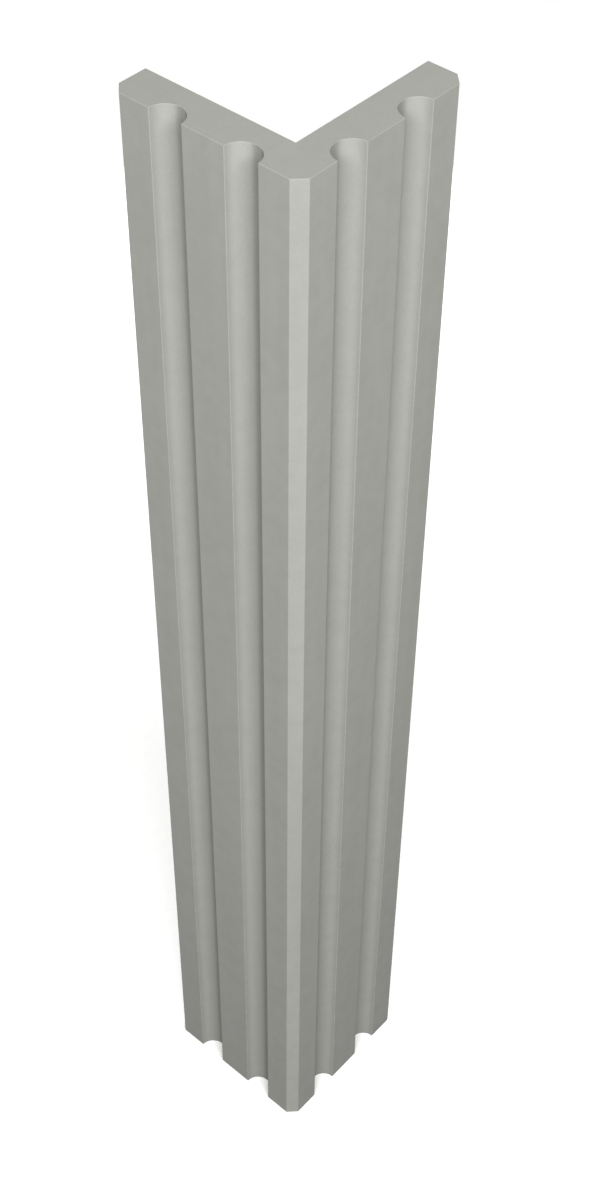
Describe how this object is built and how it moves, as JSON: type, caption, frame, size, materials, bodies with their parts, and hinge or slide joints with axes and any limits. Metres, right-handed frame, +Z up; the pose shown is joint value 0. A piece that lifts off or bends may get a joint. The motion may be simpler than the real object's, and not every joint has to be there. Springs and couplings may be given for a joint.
{
  "type": "concrete corner guard",
  "caption": "Tall right-angled precast concrete corner guard with half-round vertical flutes, a chamfered nose, a welded cage inside and threaded fixing sockets in its back faces.",
  "frame": {"origin": "foot of the inner corner, where the guarded corner's edge meets the floor", "axes": "+Z up the guard; the left leg runs to -X with its back facing +Y, the right leg runs to +Y with its back facing -X, and the nose points between +X and -Y"},
  "size_m": [0.3, 0.3, 2.1],
  "materials": {
    "cast_concrete": "matte",
    "reinforcing_steel": "matte",
    "zinc_plated_steel": "satin",
    "fibre_concrete": "matte"
  },
  "bodies": {
    "root": {"concrete_body": "cast_concrete", "left_end_bar": "reinforcing_steel", "left_inner_bar": "reinforcing_steel", "left_lower_anchor_pin": "zinc_plated_steel", "left_lower_socket": "zinc_plated_steel", "left_outer_bar": "reinforcing_steel", "left_spacers": "fibre_concrete", "left_upper_anchor_pin": "zinc_plated_steel", "left_upper_socket": "zinc_plated_steel", "nose_bar": "reinforcing_steel", "right_end_bar": "reinforcing_steel", "right_inner_bar": "reinforcing_steel", "right_lower_anchor_pin": "zinc_plated_steel", "right_lower_socket": "zinc_plated_steel", "right_outer_bar": "reinforcing_steel", "right_spacers": "fibre_concrete", "right_upper_anchor_pin": "zinc_plated_steel", "right_upper_socket": "zinc_plated_steel", "tie_01": "reinforcing_steel", "tie_02": "reinforcing_steel", "tie_03": "reinforcing_steel", "tie_04": "reinforcing_steel", "tie_05": "reinforcing_steel", "tie_06": "reinforcing_steel", "tie_07": "reinforcing_steel", "tie_08": "reinforcing_steel", "tie_09": "reinforcing_steel", "tie_10": "reinforcing_steel", "tie_11": "reinforcing_steel", "tie_12": "reinforcing_steel", "tie_13": "reinforcing_steel", "tie_14": "reinforcing_steel"}
  },
  "joints": []
}
